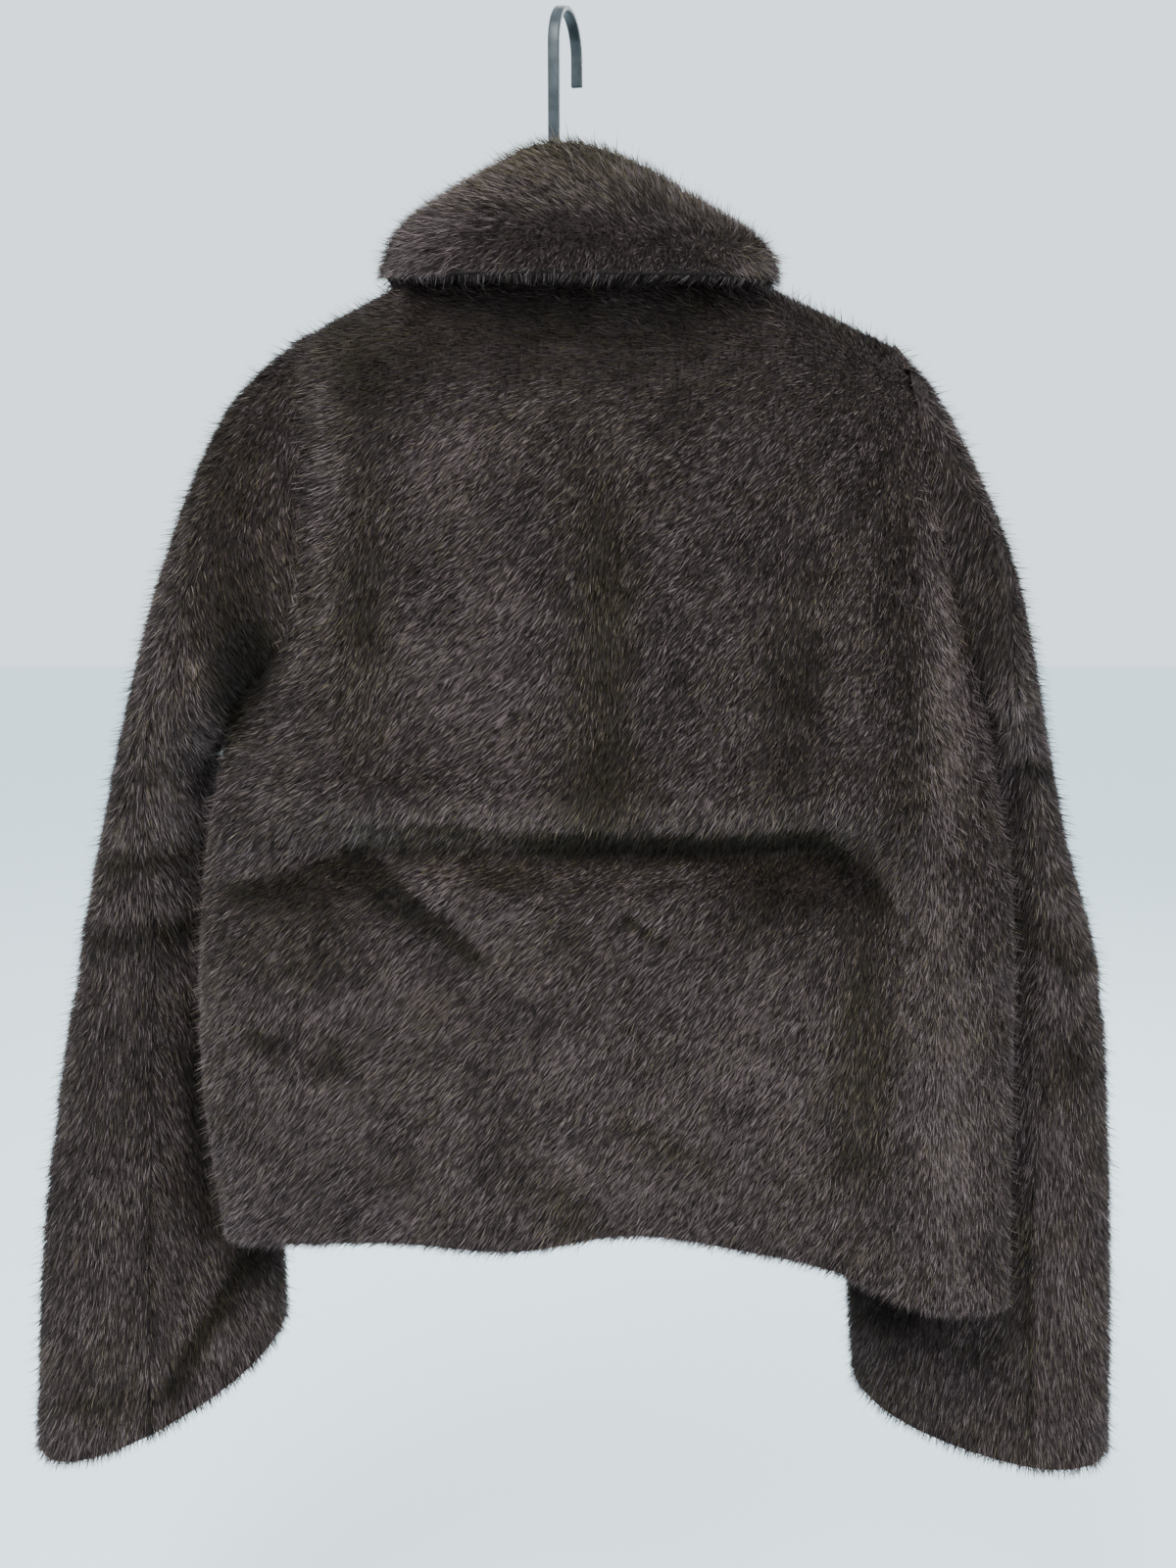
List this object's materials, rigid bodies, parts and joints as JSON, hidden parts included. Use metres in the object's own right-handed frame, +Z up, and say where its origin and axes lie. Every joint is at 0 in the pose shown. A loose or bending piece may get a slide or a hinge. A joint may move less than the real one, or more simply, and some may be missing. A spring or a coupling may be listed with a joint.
{
  "type": "plush jacket on a hanger",
  "caption": "Short long-sleeved plush jacket with a large turned-down collar, hung open-fronted on a plain hanger with a flat bar hook.",
  "frame": {"origin": "inner top of the hanger's hook, where the rod bears", "axes": "+Z up, +X to the right as the jacket's back is looked at, +Y towards the jacket's fronts"},
  "size_m": [0.6535, 0.1938, 0.8216],
  "materials": {
    "plush_pile": "long soft pile on a knitted backing, dark brown with a grey purple cast, lighter guard hairs, brushed down and to one side",
    "dark_coated_bar": "smooth dark slate coating, half gloss"
  },
  "bodies": {
    "root": {"back": "plush_pile", "front_left": "plush_pile", "front_right": "plush_pile", "sleeve_left_upper": "plush_pile", "sleeve_left_under": "plush_pile", "sleeve_right_upper": "plush_pile", "sleeve_right_under": "plush_pile", "collar": "plush_pile", "hanger_hook": "dark_coated_bar", "hanger_arms": "dark_coated_bar"}
  },
  "joints": []
}
